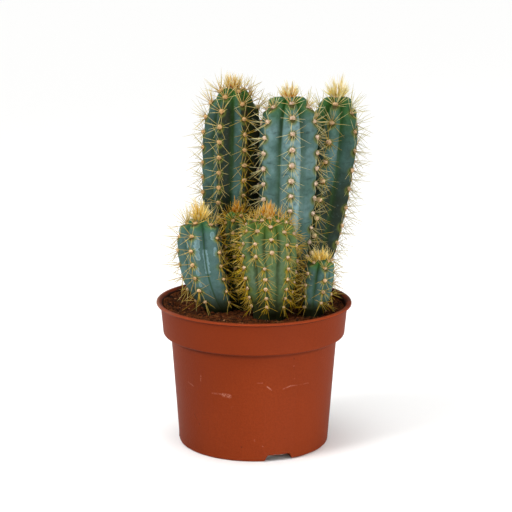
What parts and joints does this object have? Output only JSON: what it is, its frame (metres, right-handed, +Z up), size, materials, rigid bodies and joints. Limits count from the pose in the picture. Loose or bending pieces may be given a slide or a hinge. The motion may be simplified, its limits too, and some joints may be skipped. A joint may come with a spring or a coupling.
{
  "type": "potted blue torch cactus",
  "caption": "Clump of upright ribbed columnar cactus stems, blue-green with rows of tan spines and a tuft at each tip, standing in peat in a round terracotta-coloured plastic nursery pot.",
  "frame": {"origin": "Centre of the pot's underside, on the surface it stands on.", "axes": "+Z is up along the pot's axis and the object's longest extent, -Y is the front, the side seen in the picture, and +X is to the right seen from the front."},
  "size_m": [0.1334, 0.1277, 0.227],
  "materials": {
    "pot": "injection moulded, slightly satin, faint scuffs",
    "soil": "damp brown peat with pale fibres",
    "flesh_blue": "waxy blue-green skin, greener at the tips",
    "flesh_green": "waxy green skin, darker towards the soil",
    "spine": "straw-coloured spines, orange in the tufts; on fine pieces that are visual only",
    "wool": "pale beige-pink felt of the areoles; on fine pieces that are visual only"
  },
  "bodies": {
    "root": {"pot": "pot", "soil": "soil", "stem_tall_left": "flesh_blue", "stem_tall_middle": "flesh_blue", "stem_tall_right": "flesh_blue", "stem_short_left": "flesh_blue", "stem_short_green": "flesh_green", "stem_small_right": "flesh_blue", "stem_small_back": "flesh_green"}
  },
  "joints": []
}
